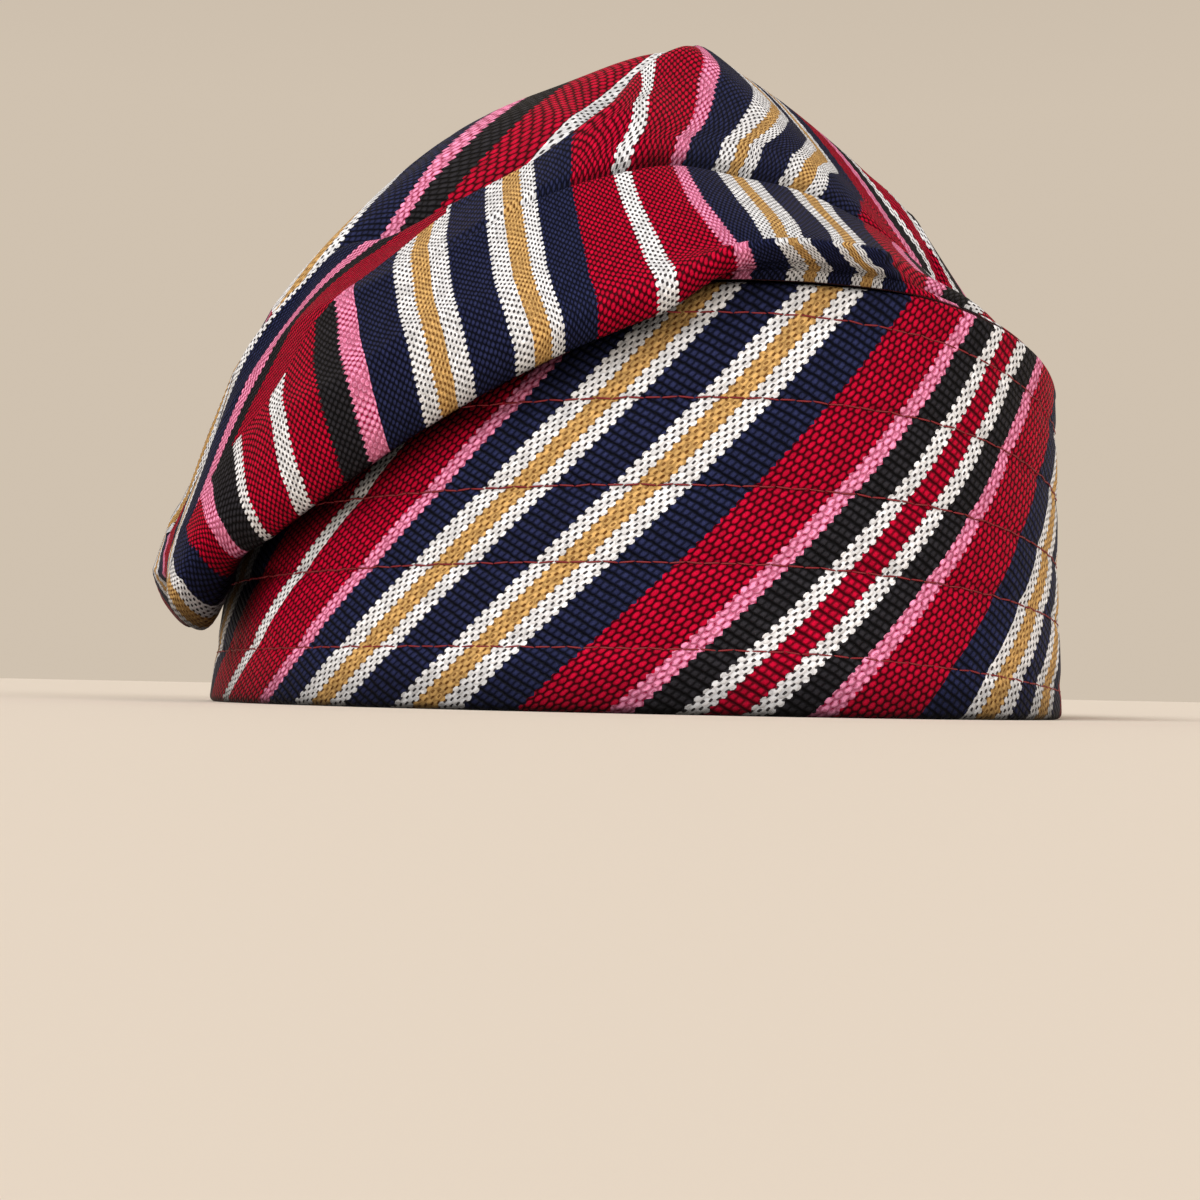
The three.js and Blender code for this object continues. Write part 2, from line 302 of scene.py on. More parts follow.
STRIP_CHART = [
    ("red", 10.8), ("black", 4.4), ("pink", 3.6),
    ("navy", 8), ("white", 3.4), ("gold", 3.4), ("white", 3.4), ("navy", 7), ("red", 9), ("pink", 3.6),
    ("navy", 8), ("white", 3.4), ("gold", 3.4), ("white", 3.4), ("navy", 8), ("red", 8),
]
BACK_CHART = [
    ("white", 3), ("red", 7.2), ("black", 5), ("pink", 3.6), ("navy", 8), ("white", 3.4), ("gold", 3.4),
    ("white", 3.4), ("red", 10), ("white", 3), ("red", 10), ("pink", 3.6),
    ("navy", 8), ("white", 3.4), ("gold", 3.4), ("white", 3.4), ("navy", 8),
]

# How the band's cloth lies: the place on its chart at the view's middle, and how much of the chart goes by
# along the rim, with the climb, and with the two together inside the named run.
BAND_LIES = (91.8, 0.702, -0.767, 0.00199)
BAND_TURNS = (-115.0, 80.0)
# Left of the view's middle, over the named run, the stripes drift to the right as they near the rim.
DRIFT = 1.6
DRIFT_HEIGHT = 30.0
DRIFT_RUN = (10.0, 35.0)

# Guide lines of the front panel: a place on its chart, and the bearings where that line crosses the
# stations, which are places along the profiles.
STATIONS = (2, 4, 5, 6, 7, 7.5, 8, 9, 10, 11, 12)
GUIDES = [
    # chart, then a bearing for each station
    (-60, 130, 130, 130, 134, 135, 135.5, 136, 138, 140, 141, 142),
    (0, 92, 92, 92, 99, 101, 102, 103, 105, 107, 108, 109),
    (29.4, 74, 73.5, 73.5, 78.7, 79.6, 80.8, 82, 84, 86, 87, 88),
    (36, 66, 65.5, 66.4, 70.2, 71.5, 73, 75, 77, 79.5, 81, 82),
    (48, 56.5, 56.3, 56.7, 59.6, 61.9, 63.2, 64.5, 66, 69, 71, 72),
    (61.5, 46, 45.6, 46.2, 48.3, 49.8, 52, 53.7, 55, 57.5, 59.5, 61),
    (67.4, 41, 40.6, 41.4, 43.4, 44.4, 46.1, 47.9, 48.7, 50.2, 51.7, 52.5),
    (81.3, 32.6, 32.5, 33.1, 35, 35.6, 36.5, 37.2, 37.5, 38.4, 39, 39.3),
    (100.5, 22.6, 22.5, 23.1, 24.5, 24.8, 24.9, 25, 24.9, 24.6, 23.8, 23.1),
    (114, 17.8, 17.9, 18.5, 18.7, 18.5, 18.1, 17.6, 17.2, 16.5, 15.1, 14.3),
    (125.4, 11.6, 11.8, 12.6, 12.4, 12.2, 12, 11.4, 10.8, 9.4, 2.1, -14.8),
    (138.6, 4.6, 5.4, 6.5, 4.8, 5, 4.7, 2.6, 0.5, -3.6, -24.5, -40),
    (153.9, -0.7, 0.6, 2.8, 0.5, -1.1, -4, -7.8, -10.6, -18.1, -46, -59),
    (173.1, -5.4, -3.8, -1.8, -5.9, -10.2, -16.5, -21.8, -23.9, -32.3, -52, -66),
    (185.4, -8.5, -6.3, -4.8, -11.4, -18.6, -24.5, -31, -33, -38.9, -57, -70),
    (196.2, -12.8, -14, -16, -20.3, -24.7, -31.7, -37.2, -40.6, -46, -61, -74),
    (205, -18, -19.5, -22, -27, -31, -36.6, -40.5, -44, -50, -65, -77),
    (340, -156, -156, -156, -156, -156, -156, -156, -156, -156, -156, -156),
]

# The side strip is flattened around the pole, across to the view's right and towards it, and its chart is
# read as start + across share * across + depth share * depth. The back layer's chart goes by the view's
# right and the height, and by more beyond the turn to the strip. Its grain runs by across and depth.
STRIP_FLAT = (70.6, -0.311, -0.951)
BACK_PLANE = (-63.8, -0.651, 0.507)
BACK_TURN = (-40.0, 0.362)
BACK_GRAIN = (-0.527, 0.85)


def closed_table(rows, bearing):
    """Reads a table by its first column, the bearing, as a smooth closed curve: an array a column."""
    rows = np.array(rows, float)
    turn = np.zeros(rows.shape[1])
    turn[0] = 360
    rows = np.concatenate([rows[-2:] - turn, rows, rows[:3] + turn])
    x = rows[:, 0]
    slope = np.zeros_like(rows)
    slope[1:-1] = (rows[2:] - rows[:-2]) / (x[2:] - x[:-2])[:, None]
    wrapped = (np.asarray(bearing, float) - x[2]) % 360 + x[2]
    i = np.searchsorted(x, wrapped, side="right") - 1
    span = (x[i + 1] - x[i])[:, None]
    t = (wrapped - x[i])[:, None] / span
    value = (
        rows[i] * (2 * t**3 - 3 * t**2 + 1)
        + span * slope[i] * (t**3 - 2 * t**2 + t)
        + rows[i + 1] * (3 * t**2 - 2 * t**3)
        + span * slope[i + 1] * (t**3 - t**2)
    )
    return value[:, 1:].T


def smooth(value, low, high):
    t = np.clip((value - low) / (high - low), 0, 1)
    return t * t * (3 - 2 * t)


def mix(a, b, share):
    return a + (b - a) * share


def heading(bearing):
    angle = np.radians(bearing)
    return -np.sin(angle), -np.cos(angle)


def band_ring(grow, height):
    """The band's cross-section at a height: an ellipse that draws in and leans as it rises."""
    share = height / DRAWN_HEIGHT
    draw = BAND_DRAW_IN * share
    return HALF_WIDTH + grow - draw, HALF_LENGTH + grow - draw, BAND_LEAN[0] * share, BAND_LEAN[1] * share


def reach_to(start_x, start_y, bearing, grow, height):
    """Distance from a start point, along a bearing, to the band's cross-section."""
    half_width, half_length, x, y = band_ring(grow, height)
    dx, dy = heading(bearing)
    fx, fy = (start_x - x) / half_width, (start_y - y) / half_length
    wx, wy = dx / half_width, dy / half_length
    a = wx**2 + wy**2
    b = fx * wx + fy * wy
    c = fx**2 + fy**2 - 1
    return (np.sqrt(b * b - a * c) - b) / a


def band_point(bearing, grow, height):
    _, _, x, y = band_ring(grow, height)
    dx, dy = heading(bearing)
    radius = reach_to(x, y, bearing, grow, height)
    return np.stack([x + radius * dx, y + radius * dy, height + 0 * radius], -1)


def crown_bends(bearing):
    """Bend points of the crown's cloth, as (reach, height) from the pole: from the seam to past it."""
    drop, out, brow_r, brow_z, crease_r, crease_z, ridge_r, ridge_z, tuck = closed_table(CROWN, bearing)
    edge = reach_to(*POLE, bearing, BAND_WALL, EDGE_HEIGHT)
    dx, dy = heading(bearing)
    _, _, x, y = band_ring(0, EDGE_HEIGHT)
    around = np.degrees(np.arctan2(-(POLE[0] + edge * dx - x), -(POLE[1] + edge * dy - y)))
    top = closed_table(BAND_TOP, around)[0]
    drop = np.maximum(drop, 0)
    low = top - drop
    foot = np.maximum(edge, reach_to(*POLE, bearing, BAND_WALL, np.clip(low, 0, top)))
    rolled = smooth(out, ROLL_STARTS_OUT, ROLL_FULL_OUT)[:, None]
    hanging = smooth(drop, 0, HANGS_FULLY_AT_DROP)[:, None]

    def bend(reach, height):
        return np.stack([reach + 0 * edge, height + 0 * edge], -1)

    def dome(side):
        tilt = side * DOME_REACH * (DOME_SLOPE[0] * dx + DOME_SLOPE[1] * dy)
        return bend(side * DOME_REACH, POLE_HEIGHT + tilt - DOME_FALL)

    straight = [bend(edge + o, top + u) for o, u in STRAIGHT_BENDS]
    lip = [bend(edge + o, top + u) for o, u in LIP_BENDS]
    lip.append(bend(edge + mix(LEG_CLEARANCE, out, TURN_SHARE), top + LIP_RISE - HUMP[1]))
    lip.append(bend(edge + out, top + LIP_RISE))
    hang = [
        bend(edge + HUMP[0], top + HUMP[1]),
        bend(edge + LEG_CLEARANCE, top - SHOULDER_DROP),
        bend((edge + foot) / 2 + LEG_CLEARANCE, top - drop / 2),
        bend(mix(foot + LEG_CLEARANCE, edge + out, TURN_SHARE), low),
        bend(edge + out, low + TURN_RISE),
    ]
    start = [mix(s, mix(l, h, hanging), rolled) for s, l, h in zip(straight, lip, hang)]
    brow = bend(brow_r, brow_z)
    crease = bend(crease_r, crease_z)
    ridge = bend(ridge_r, ridge_z)
    near = dome(1)
    sharp = bend(
        ridge_r - TUCK_SLANT[0] * tuck - TUCK_TURN[0],
        ridge_z - TUCK_SLANT[1] * tuck + TUCK_TURN[1],
    )
    tucked = mix(mix(ridge, near, SOFT_SHARE), sharp, smooth(tuck, 0, TUCK_FULL)[:, None])
    bulge = FLANK_BULGE * np.stack([near[:, 1] - tucked[:, 1], tucked[:, 0] - near[:, 0]], -1)
    flank = mix(tucked, near, FLANK_SHARE) + bulge
    below_edge = smooth(top - tucked[:, 1], -FLANK_SPREAD / 2, FLANK_SPREAD / 2)[:, None]
    flank = mix(flank, bend(edge + EDGE_CLEARANCE, top + EDGE_RISE), below_edge)
    return np.array([
        bend(edge - SEAM_INSET, top + SEAM_GAP),
        *start,
        brow,
        *[mix(brow, crease, share) for share in SHELF_SHARES],
        crease,
        *[mix(crease, ridge, share) for share in FACET_SHARES],
        ridge,
        tucked,
        flank,
        near,
        bend(0, POLE_HEIGHT),
        dome(-1),
    ])


def run_through(bends, place):
    """Points and directions on the smooth curve through the bends, at places that count the bends."""
    ends = np.concatenate([[2 * bends[0] - bends[1]], bends, [2 * bends[-1] - bends[-2]]])
    column = np.arange(bends.shape[1])
    span = np.clip(np.floor(place).astype(int), 0, len(bends) - 2)
    t = (place - span)[..., None]
    p0, p1, p2, p3 = (ends[span + k, column] for k in range(4))

    def stride(a, b):
        return np.maximum(np.sum((b - a)**2, -1, keepdims=True)**0.25, LEAST_STRIDE)

    d0, d1, d2 = stride(p0, p1), stride(p1, p2), stride(p2, p3)
    t1 = ((p1 - p0) / d0 - (p2 - p0) / (d0 + d1) + (p2 - p1) / d1) * d1
    t2 = ((p2 - p1) / d1 - (p3 - p1) / (d1 + d2) + (p3 - p2) / d2) * d1
    c2 = -3 * p1 + 3 * p2 - 2 * t1 - t2
    c3 = 2 * p1 - 2 * p2 + t1 + t2
    way = t1 + t * (2 * c2 + 3 * t * c3)
    return p1 + t * (t1 + t * (c2 + t * c3)), way / np.linalg.norm(way, axis=-1, keepdims=True)


def linear(colour):
    """sRGB of 0 to 255 as scene-linear red, green, blue and alpha."""
    shares = [c / 255 for c in colour]
    return (*[c / 12.92 if c <= 0.04045 else ((c + 0.055) / 1.055)**2.4 for c in shares], 1.0)


class Graph:
    """A material's shader nodes, added and joined by short calls."""

    def __init__(self, name):
        self.material = bpy.data.materials.new(name)
        self.material.use_nodes = True
        self.tree = self.material.node_tree
        self.shader = self.tree.nodes["Principled BSDF"]

    def put(self, socket, value):
        if isinstance(value, bpy.types.NodeSocket):
            self.tree.links.new(value, socket)
        else:
            socket.default_value = value

    def node(self, kind, values, output=0, **settings):
        made = self.tree.nodes.new(kind)
        for key, value in settings.items():
            setattr(made, key, value)
        for key, value in values.items():
            self.put(made.inputs[key], value)
        return made.outputs[output]

    def math(self, operation, *values):
        return self.node("ShaderNodeMath", dict(enumerate(values)), operation=operation)

    def split(self, vector):
        made = self.tree.nodes.new("ShaderNodeSeparateXYZ")
        self.put(made.inputs[0], vector)
        return made.outputs

    def step(self, value, low, high):
        inputs = {"Value": value, "From Min": low, "From Max": high}
        return self.node("ShaderNodeMapRange", inputs, interpolation_type="SMOOTHSTEP")

    def move(self, value, source, target):
        """A value moved from a source range into a target range."""
        inputs = {"Value": value, "From Min": source[0], "From Max": source[1]}
        inputs.update({"To Min": target[0], "To Max": target[1]})
        return self.node("ShaderNodeMapRange", inputs)

    def mix_colour(self, share, a, b, blend="MIX"):
        inputs = {0: share, 6: a, 7: b}
        return self.node("ShaderNodeMix", inputs, output=2, data_type="RGBA", blend_type=blend)

    def blend(self, share, a, b):
        return self.node("ShaderNodeMix", {0: share, 2: a, 3: b}, data_type="FLOAT")

    def shaded(self, colour, value):
        """A colour times a grey value."""
        grey = self.node("ShaderNodeCombineXYZ", {0: value, 1: value, 2: value})
        return self.mix_colour(1.0, colour, grey, "MULTIPLY")

    def ramp(self, position, stops):
        """The colour and the share beside it, of the last stop at or before a position."""
        made = self.tree.nodes.new("ShaderNodeValToRGB")
        made.color_ramp.interpolation = "CONSTANT"
        elements = made.color_ramp.elements
        while len(elements) < len(stops):
            elements.new(1.0)
        for element, (place, colour) in zip(elements, stops):
            element.position = place
            element.color = colour
        self.put(made.inputs["Fac"], position)
        return made.outputs["Color"], made.outputs["Alpha"]


def stripes(graph, position, chart, layer):
    """Colour, and the share beside it, of a repeating chart of stripes at a position in millimetres."""
    total = sum(width for _, width in chart)
    at = graph.math("FRACT", graph.math("DIVIDE", position, total))
    stops = []
    run = 0.0
    for name, width in chart:
        colour, share = COLOURS[name][layer:layer + 2]
        stops.append((run / total, (*linear(colour)[:3], share)))
        run += width
    colour, share = graph.ramp(at, stops[:RAMP_STOPS])
    if len(stops) > RAMP_STOPS:
        later_colour, later_share = graph.ramp(at, stops[RAMP_STOPS:])
        past = graph.math("GREATER_THAN", at, stops[RAMP_STOPS][0])
        colour = graph.mix_colour(past, colour, later_colour)
        share = graph.blend(past, share, later_share)
    return colour, share


def cloth_material(name, chart, weave):
    """Warp-faced weave: rods of thread in rows, each second row set over by one warp end.

    Closed stripes show only small slots, open ones stay apart as rods, and some run together as ribs."""
    rods, slots, lean, ribs, reach = WEAVES[weave]
    graph = Graph(name)
    cloth = graph.node("ShaderNodeUVMap", {}, uv_map="cloth")
    across, along, _ = graph.split(cloth)
    wander = graph.split(graph.node(
        "ShaderNodeTexNoise", {"Vector": cloth, "Scale": WANDER_PER_MM, "Detail": 1.0}, output=1))
    leant = graph.math("SUBTRACT", along, graph.math("MULTIPLY", across, lean))

    def count(length, pitch, axis):
        """Threads to a place, as they wander a little."""
        swing = graph.math("MULTIPLY", graph.math("SUBTRACT", wander[axis], 0.5), WANDER[axis])
        return graph.math("ADD", graph.math("DIVIDE", length, pitch), swing)

    def lattice(end_pitch, pick_pitch):
        """Ends and picks to each place of the cloth."""
        return count(across, end_pitch, 0), count(leant, pick_pitch, 1)

    def spot(here, centre, half, square):
        """How far off the nearest lattice spot lies, 1 at its edge, and the ends and picks it is off."""
        offs = [graph.math("WRAP", graph.math("SUBTRACT", a, b), 1.0, -1.0) for a, b in zip(here, centre)]
        shares = [graph.math("DIVIDE", graph.math("ABSOLUTE", off), size) for off, size in zip(offs, half)]
        return graph.math("ADD", *[graph.math("POWER", share, square) for share in shares]), offs

    def nearest(here, shift, half, square):
        """The nearer of both sets of lattice spots: how far off it lies, and its end and pick."""
        away, offs = spot(here, (shift, 0.0), half, square)
        other_away, other_offs = spot(here, (1.0 - shift, 1.0), half, square)
        swapped = graph.math("LESS_THAN", other_away, away)
        end, pick = [
            graph.math("SUBTRACT", threads, graph.blend(swapped, off, other_off))
            for threads, off, other_off in zip(here, offs, other_offs)
        ]
        return graph.math("MINIMUM", away, other_away), end, pick

    bricks = lattice(*slots[:2])
    slotted, _, _ = nearest(bricks, 0.0, slots[2:], SLOT_SQUARE)
    _, brick, _ = nearest(bricks, 1.0, (1.0, 1.0), ROD_SQUARE)
    middle = graph.math("MULTIPLY", graph.blend(STEPPED, bricks[0], brick), slots[0])
    thread, closed = stripes(graph, middle, chart, THREAD)
    ground, ribbed = stripes(graph, middle, chart, GROUND)

    ends, picks = lattice(*rods[:2])
    rounded, end, pick = nearest((ends, picks), 0.0, rods[2:], ROD_SQUARE)
    off_row = graph.math("ABSOLUTE", graph.math("SUBTRACT", picks, graph.math("ROUND", picks)))
    rod_gap = graph.step(rounded, *ROD_GAP)
    row_gap = graph.step(off_row, *ROW_GAP)
    slot_gap = graph.math("SUBTRACT", 1.0, graph.step(slotted, *SLOT_EDGE))
    rib_gap = graph.math("MAXIMUM", row_gap, graph.math("MULTIPLY", rod_gap, RODS_IN_RIBS))
    closed_gap = graph.math("MAXIMUM", slot_gap, graph.math("MULTIPLY", rod_gap, RODS_IN_CLOSED))
    open_gap = graph.blend(graph.math("MULTIPLY", ribbed, ribs), rod_gap, rib_gap)
    gap = graph.blend(closed, open_gap, closed_gap)

    grain = graph.node("ShaderNodeCombineXYZ", {0: end, 1: pick})
    chance = graph.node("ShaderNodeTexWhiteNoise", {"Vector": grain}, noise_dimensions="2D")
    fibre = graph.node("ShaderNodeTexNoise", {"Vector": cloth, "Scale": FIBRES_PER_MM, "Detail": 1.0})
    # Painted shade: an ambient-occlusion node's openness darkens the colour in creases, recesses and under
    # the flap.
    painted_shade_openness = graph.node(
        "ShaderNodeAmbientOcclusion", {"Distance": reach}, output=1, samples=PAINTED_SHADE_SAMPLES)
    # Painted highlight and shade: a rod's middle is lighter and its edges darker, times the fibres' random
    # fuzz.
    painted_highlight_and_fuzz = graph.math("MULTIPLY", graph.move(rounded, *CREST_PAINTED_HIGHLIGHT), graph.move(fibre, *FUZZ))
    chance_and_painted_highlight = graph.math("MULTIPLY", graph.move(chance, *CHANCE), graph.blend(closed, painted_highlight_and_fuzz, 1.0))
    # The threads' colour carries that painted highlight; the gaps show the ground.
    woven_with_painted_highlight = graph.mix_colour(gap, graph.shaded(thread, chance_and_painted_highlight), ground)
    # The woven colour times the painted recess shade.
    graph.put(graph.shader.inputs["Base Color"], graph.shaded(woven_with_painted_highlight, graph.move(painted_shade_openness, *RECESS_PAINTED_SHADE)))

    dip = graph.math("MULTIPLY", graph.math("MINIMUM", rounded, 1.0), ROD_RELIEF)
    fall = graph.math("MULTIPLY", gap, GAP_RELIEF)
    height = graph.math("SUBTRACT", graph.math("SUBTRACT", 1.0, dip), fall)
    graph.put(graph.shader.inputs["Normal"], graph.node(
        "ShaderNodeBump", {"Strength": BUMP_STRENGTH, "Distance": BUMP_DEPTH, "Height": height}))
    graph.put(graph.shader.inputs["Roughness"], CLOTH_ROUGHNESS)
    graph.put(graph.shader.inputs["Specular IOR Level"], CLOTH_GLOSS)
    return graph.material


def plain_material(name, colour, roughness):
    graph = Graph(name)
    graph.put(graph.shader.inputs["Base Color"], linear(colour))
    graph.put(graph.shader.inputs["Roughness"], roughness)
    return graph.material


def mesh_object(name, points, faces, materials, face_material=None, uv=None):
    """A smooth mesh object in the part's frame, from millimetres around the rim's middle."""
    mesh = bpy.data.meshes.new(name)
    placed = (np.asarray(points) + [*MIDDLE, 0]) * MM
    mesh.from_pydata(placed.tolist(), [], faces)
    for material in materials:
        mesh.materials.append(material)
    mesh.polygons.foreach_set("use_smooth", np.ones(len(faces), bool))
    if face_material is not None:
        mesh.polygons.foreach_set("material_index", np.asarray(face_material, np.int32))
    if uv is not None:
        layer = mesh.uv_layers.new(name="cloth")
        layer.data.foreach_set("uv", np.concatenate(uv).astype(np.float32).ravel())
    mesh.update()
    made = bpy.data.objects.new(name, mesh)
    bpy.context.scene.collection.objects.link(made)
    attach(made, "root")
    return made


def rim_run(bearing):
    """Distance along the rim, to the right of the view's middle."""
    fine = np.arange(BAND_SEAM_BEARING - 360, BAND_SEAM_BEARING + RIM_STEP / 2, RIM_STEP)
    points = band_point(fine, BAND_WALL, 0 * fine)
    steps = np.hypot(*np.diff(points[:, :2], axis=0).T)
    run = np.concatenate([[0], np.cumsum(steps)])
    return np.interp(VIEW_BEARING, fine, run) - np.interp(bearing, fine, run)


def row_share(row, bearing):
    return row - closed_table(ROW_FALL, bearing)[0]


def quilted(bearing, share, top):
    """How far the quilted wall's outer face stands out at a share of its height."""
    run = rim_run(bearing)
    pull = 0 * run
    for number, row in enumerate(STITCH_ROWS):
        near = np.exp(-(((share - row_share(row, bearing)) * top / PINCH_WIDTH)**2))
        wave = np.sin(2 * math.pi * run / PUCKER_LENGTH + PUCKER_SHIFT * number)
        pull = pull + near * (1 + PUCKER_DEPTH / PINCH_DEPTH * wave)
    sway = SWAY_DEPTH * smooth(share, 0, SWAY_STARTS)
    for length, rise in SWAY_WAVES:
        sway = sway * np.sin(run / length + rise * share)
    return BAND_WALL - PINCH_DEPTH * pull + sway


def band_section(bearing, top):
    """Rings of the band: inside the hem, under it, up the outer face, over the top, down the inside."""
    corner = np.linspace(0, math.pi / 2, EDGE_RINGS + 1)
    near = EDGE_ROUND * (1 - np.cos(corner))
    far = EDGE_ROUND * (1 - np.sin(corner))
    rings = [(n, f + 0 * top, "lining") for n, f in zip(near[:-1], far[:-1])]
    rings += [(BAND_WALL - f, n + 0 * top, "cloth") for n, f in zip(near, far)]
    for share in np.linspace(0, 1, BAND_RINGS)[1:-1]:
        rings.append((quilted(bearing, share, top), mix(EDGE_ROUND, top - EDGE_ROUND, share), "cloth"))
    rings += [(BAND_WALL - n, top - f, "cloth") for n, f in zip(near, far)]
    rings += [(f, top - n, "lining") for n, f in zip(near, far)]
    for share in np.linspace(1, 0, LINING_RINGS)[1:-1]:
        rings.append((0 * top, mix(EDGE_ROUND, top - EDGE_ROUND, share), "lining"))
    return rings


def band_cloth(grid, bearing):
    """Cloth places of the band's points, in millimetres across and along its stripes."""
    climb = np.cumsum(np.linalg.norm(np.diff(grid, axis=0), axis=-1), 0)
    climb = np.concatenate([[0 * bearing], climb])
    climb = climb - climb[2 * EDGE_RINGS] + EDGE_ROUND
    run = rim_run(bearing)[None, :] + 0 * climb
    start, by_run, by_climb, by_both = BAND_LIES
    across = start + by_run * run + by_climb * climb + by_both * np.clip(run, *BAND_TURNS) * climb
    near_rim = np.clip(1 - climb / DRIFT_HEIGHT, 0, 1)**2
    across = across - DRIFT * smooth(-run, *DRIFT_RUN) * near_rim
    along = (by_run * climb - by_climb * run) / math.hypot(by_run, by_climb)
    return np.stack([across, along], -1)


def make_band(cloth, lining):
    """The band's wall: its outer face in cloth, its inner face in lining."""
    bearing = BAND_SEAM_BEARING - 360 + 360 * np.arange(BAND_STEPS + 1) / BAND_STEPS
    rings = band_section(bearing, closed_table(BAND_TOP, bearing)[0])
    grid = np.array([band_point(bearing, grow, height) for grow, height, _ in rings])
    flat = band_cloth(grid, bearing)
    points = grid[:, :-1].reshape(-1, 3)
    faces, face_material, uv = [], [], []
    for ring, (_, _, kind) in enumerate(rings):
        above = (ring + 1) % len(rings)
        low, high = ring * BAND_STEPS, above * BAND_STEPS
        for step in range(BAND_STEPS):
            after = (step + 1) % BAND_STEPS
            faces.append((low + step, high + step, high + after, low + after))
            face_material.append(0 if kind == "cloth" else 1)
            uv.append(flat[[ring, above, above, ring], [step, step, step + 1, step + 1]])
    return mesh_object("band_cloth", points, faces, [cloth, lining], face_material, uv)


def stitch_points(centre):
    """Rings of points around a stitch's centre line."""
    way = centre[-1] - centre[0]
    way = way / np.linalg.norm(way)
    out = np.cross(way, [0, 0, 1])
    out = out / np.linalg.norm(out)
    up = np.cross(out, way)
    points = []
    for middle, (_, width) in zip(centre, STITCH_SECTIONS):
        for side in range(STITCH_SIDES):
            angle = 2 * math.pi * side / STITCH_SIDES
            around = math.cos(angle) * out + math.sin(angle) * up
            points.append(middle + STITCH_RADIUS * width * around)
    return points


def stitch_faces(base):
    """Faces between a stitch's rings and over its ends, by the number of its first point."""
    faces = []
    last = base + (len(STITCH_SECTIONS) - 1) * STITCH_SIDES
    for low in range(base, last, STITCH_SIDES):
        high = low + STITCH_SIDES
        for side in range(STITCH_SIDES):
            after = (side + 1) % STITCH_SIDES
            faces.append((low + side, low + after, high + after, high + side))
    faces.append(tuple(base + side for side in reversed(range(STITCH_SIDES))))
    faces.append(tuple(last + side for side in range(STITCH_SIDES)))
    return faces


def make_stitches(thread):
    """Short stitches lying along each quilted row."""
    points, faces = [], []
    pitch = STITCH_LENGTH + STITCH_GAP
    fine = np.arange(BAND_SEAM_BEARING - 360, BAND_SEAM_BEARING, ROW_STEP)
    top = closed_table(BAND_TOP, fine)[0]
    for number, row in enumerate(STITCH_ROWS):
        share = row_share(row, fine)
        line = band_point(fine, quilted(fine, share, top) + STITCH_RADIUS - STITCH_SINK, share * top)
        run = np.concatenate([[0], np.cumsum(np.linalg.norm(np.diff(line, axis=0), axis=-1))])
        for index in range(int(run[-1] / pitch)):
            at = np.array([index * pitch + part * STITCH_LENGTH for part, _ in STITCH_SECTIONS])
            centre = np.stack([np.interp(at, run, line[:, k]) for k in range(3)], -1)
            swing = STITCH_SWING * math.sin(STITCH_TURN * index + number)
            centre[:, 2] += np.linspace(-swing, swing, len(centre))
            faces += stitch_faces(len(points))
            points += stitch_points(centre)
    return mesh_object("band_stitches", points, faces, [thread])


def front_chart(bearing, place):
    """Place on the front panel's chart, from the guide lines."""
    guides = np.array(GUIDES, float)[::-1]
    chart, crossings = guides[:, 0], guides[:, 1:].T
    station = np.interp(place, STATIONS, np.arange(len(STATIONS)))
    lower = np.clip(np.floor(station).astype(int), 0, len(STATIONS) - 2)
    crossing = mix(crossings[lower], crossings[lower + 1], (station - lower)[..., None])
    i = np.clip(np.sum(crossing <= bearing[..., None], -1) - 1, 0, len(guides) - 2)
    left = np.take_along_axis(crossing, i[..., None], -1)[..., 0]
    right = np.take_along_axis(crossing, i[..., None] + 1, -1)[..., 0]
    return mix(chart[i], chart[i + 1], (bearing - left) / (right - left))


def laid_flat(chart, across, depth):
    """Cloth places of a flattened layer: across its stripes by a chart, and along them."""
    start, by_across, by_depth = chart
    turn = math.atan2(by_depth, by_across)
    along = depth * math.cos(turn) - across * math.sin(turn)
    return np.stack([start + by_across * across + by_depth * depth, along], -1)


def back_chart(points):
    """Place on the back layer's chart."""
    dx, dy = heading(VIEW_BEARING)
    right = points[..., 1] * dx - points[..., 0] * dy
    start, by_right, by_height = BACK_PLANE
    turn, by_turn = BACK_TURN
    return start + by_right * right + by_height * points[..., 2] + by_turn * np.maximum(turn - right, 0)


def crown_places(bearing):
    """Places of the crown's rings on each profile: front panel, side strip and back layer."""
    mitre = closed_table(MITRE, bearing)[0]
    edge = closed_table(STRIP_EDGE, bearing)[0]
    return np.concatenate([
        mitre * np.linspace(0, 1, FRONT_RINGS + 1)[:-1, None],
        mix(mitre, edge, np.linspace(0, 1, STRIP_RINGS + 1)[:-1, None]),
        mix(edge, TOP, np.linspace(0, 1, BACK_RINGS + 1)[:, None]),
    ])


def stands_out(bearing, place):
    """How far the crown's cloth stands out of its smooth run, at the crease and on the facet."""
    crease = closed_table(CREASE_DEPTH, bearing)[0] * np.exp(-((place - CREASE) / CREASE_SPREAD)**2)
    swell = closed_table(SWELL, bearing)[0] * np.exp(-((place - SWELL_MIDDLE) / SWELL_SPREAD)**2)
    return swell - crease


def spread(bearing, profile):
    """Points in space of profiles that stand around the pole."""
    dx, dy = heading(bearing)
    reach, height = profile[..., 0], profile[..., 1]
    return np.stack([POLE[0] + reach * dx, POLE[1] + reach * dy, height], -1)


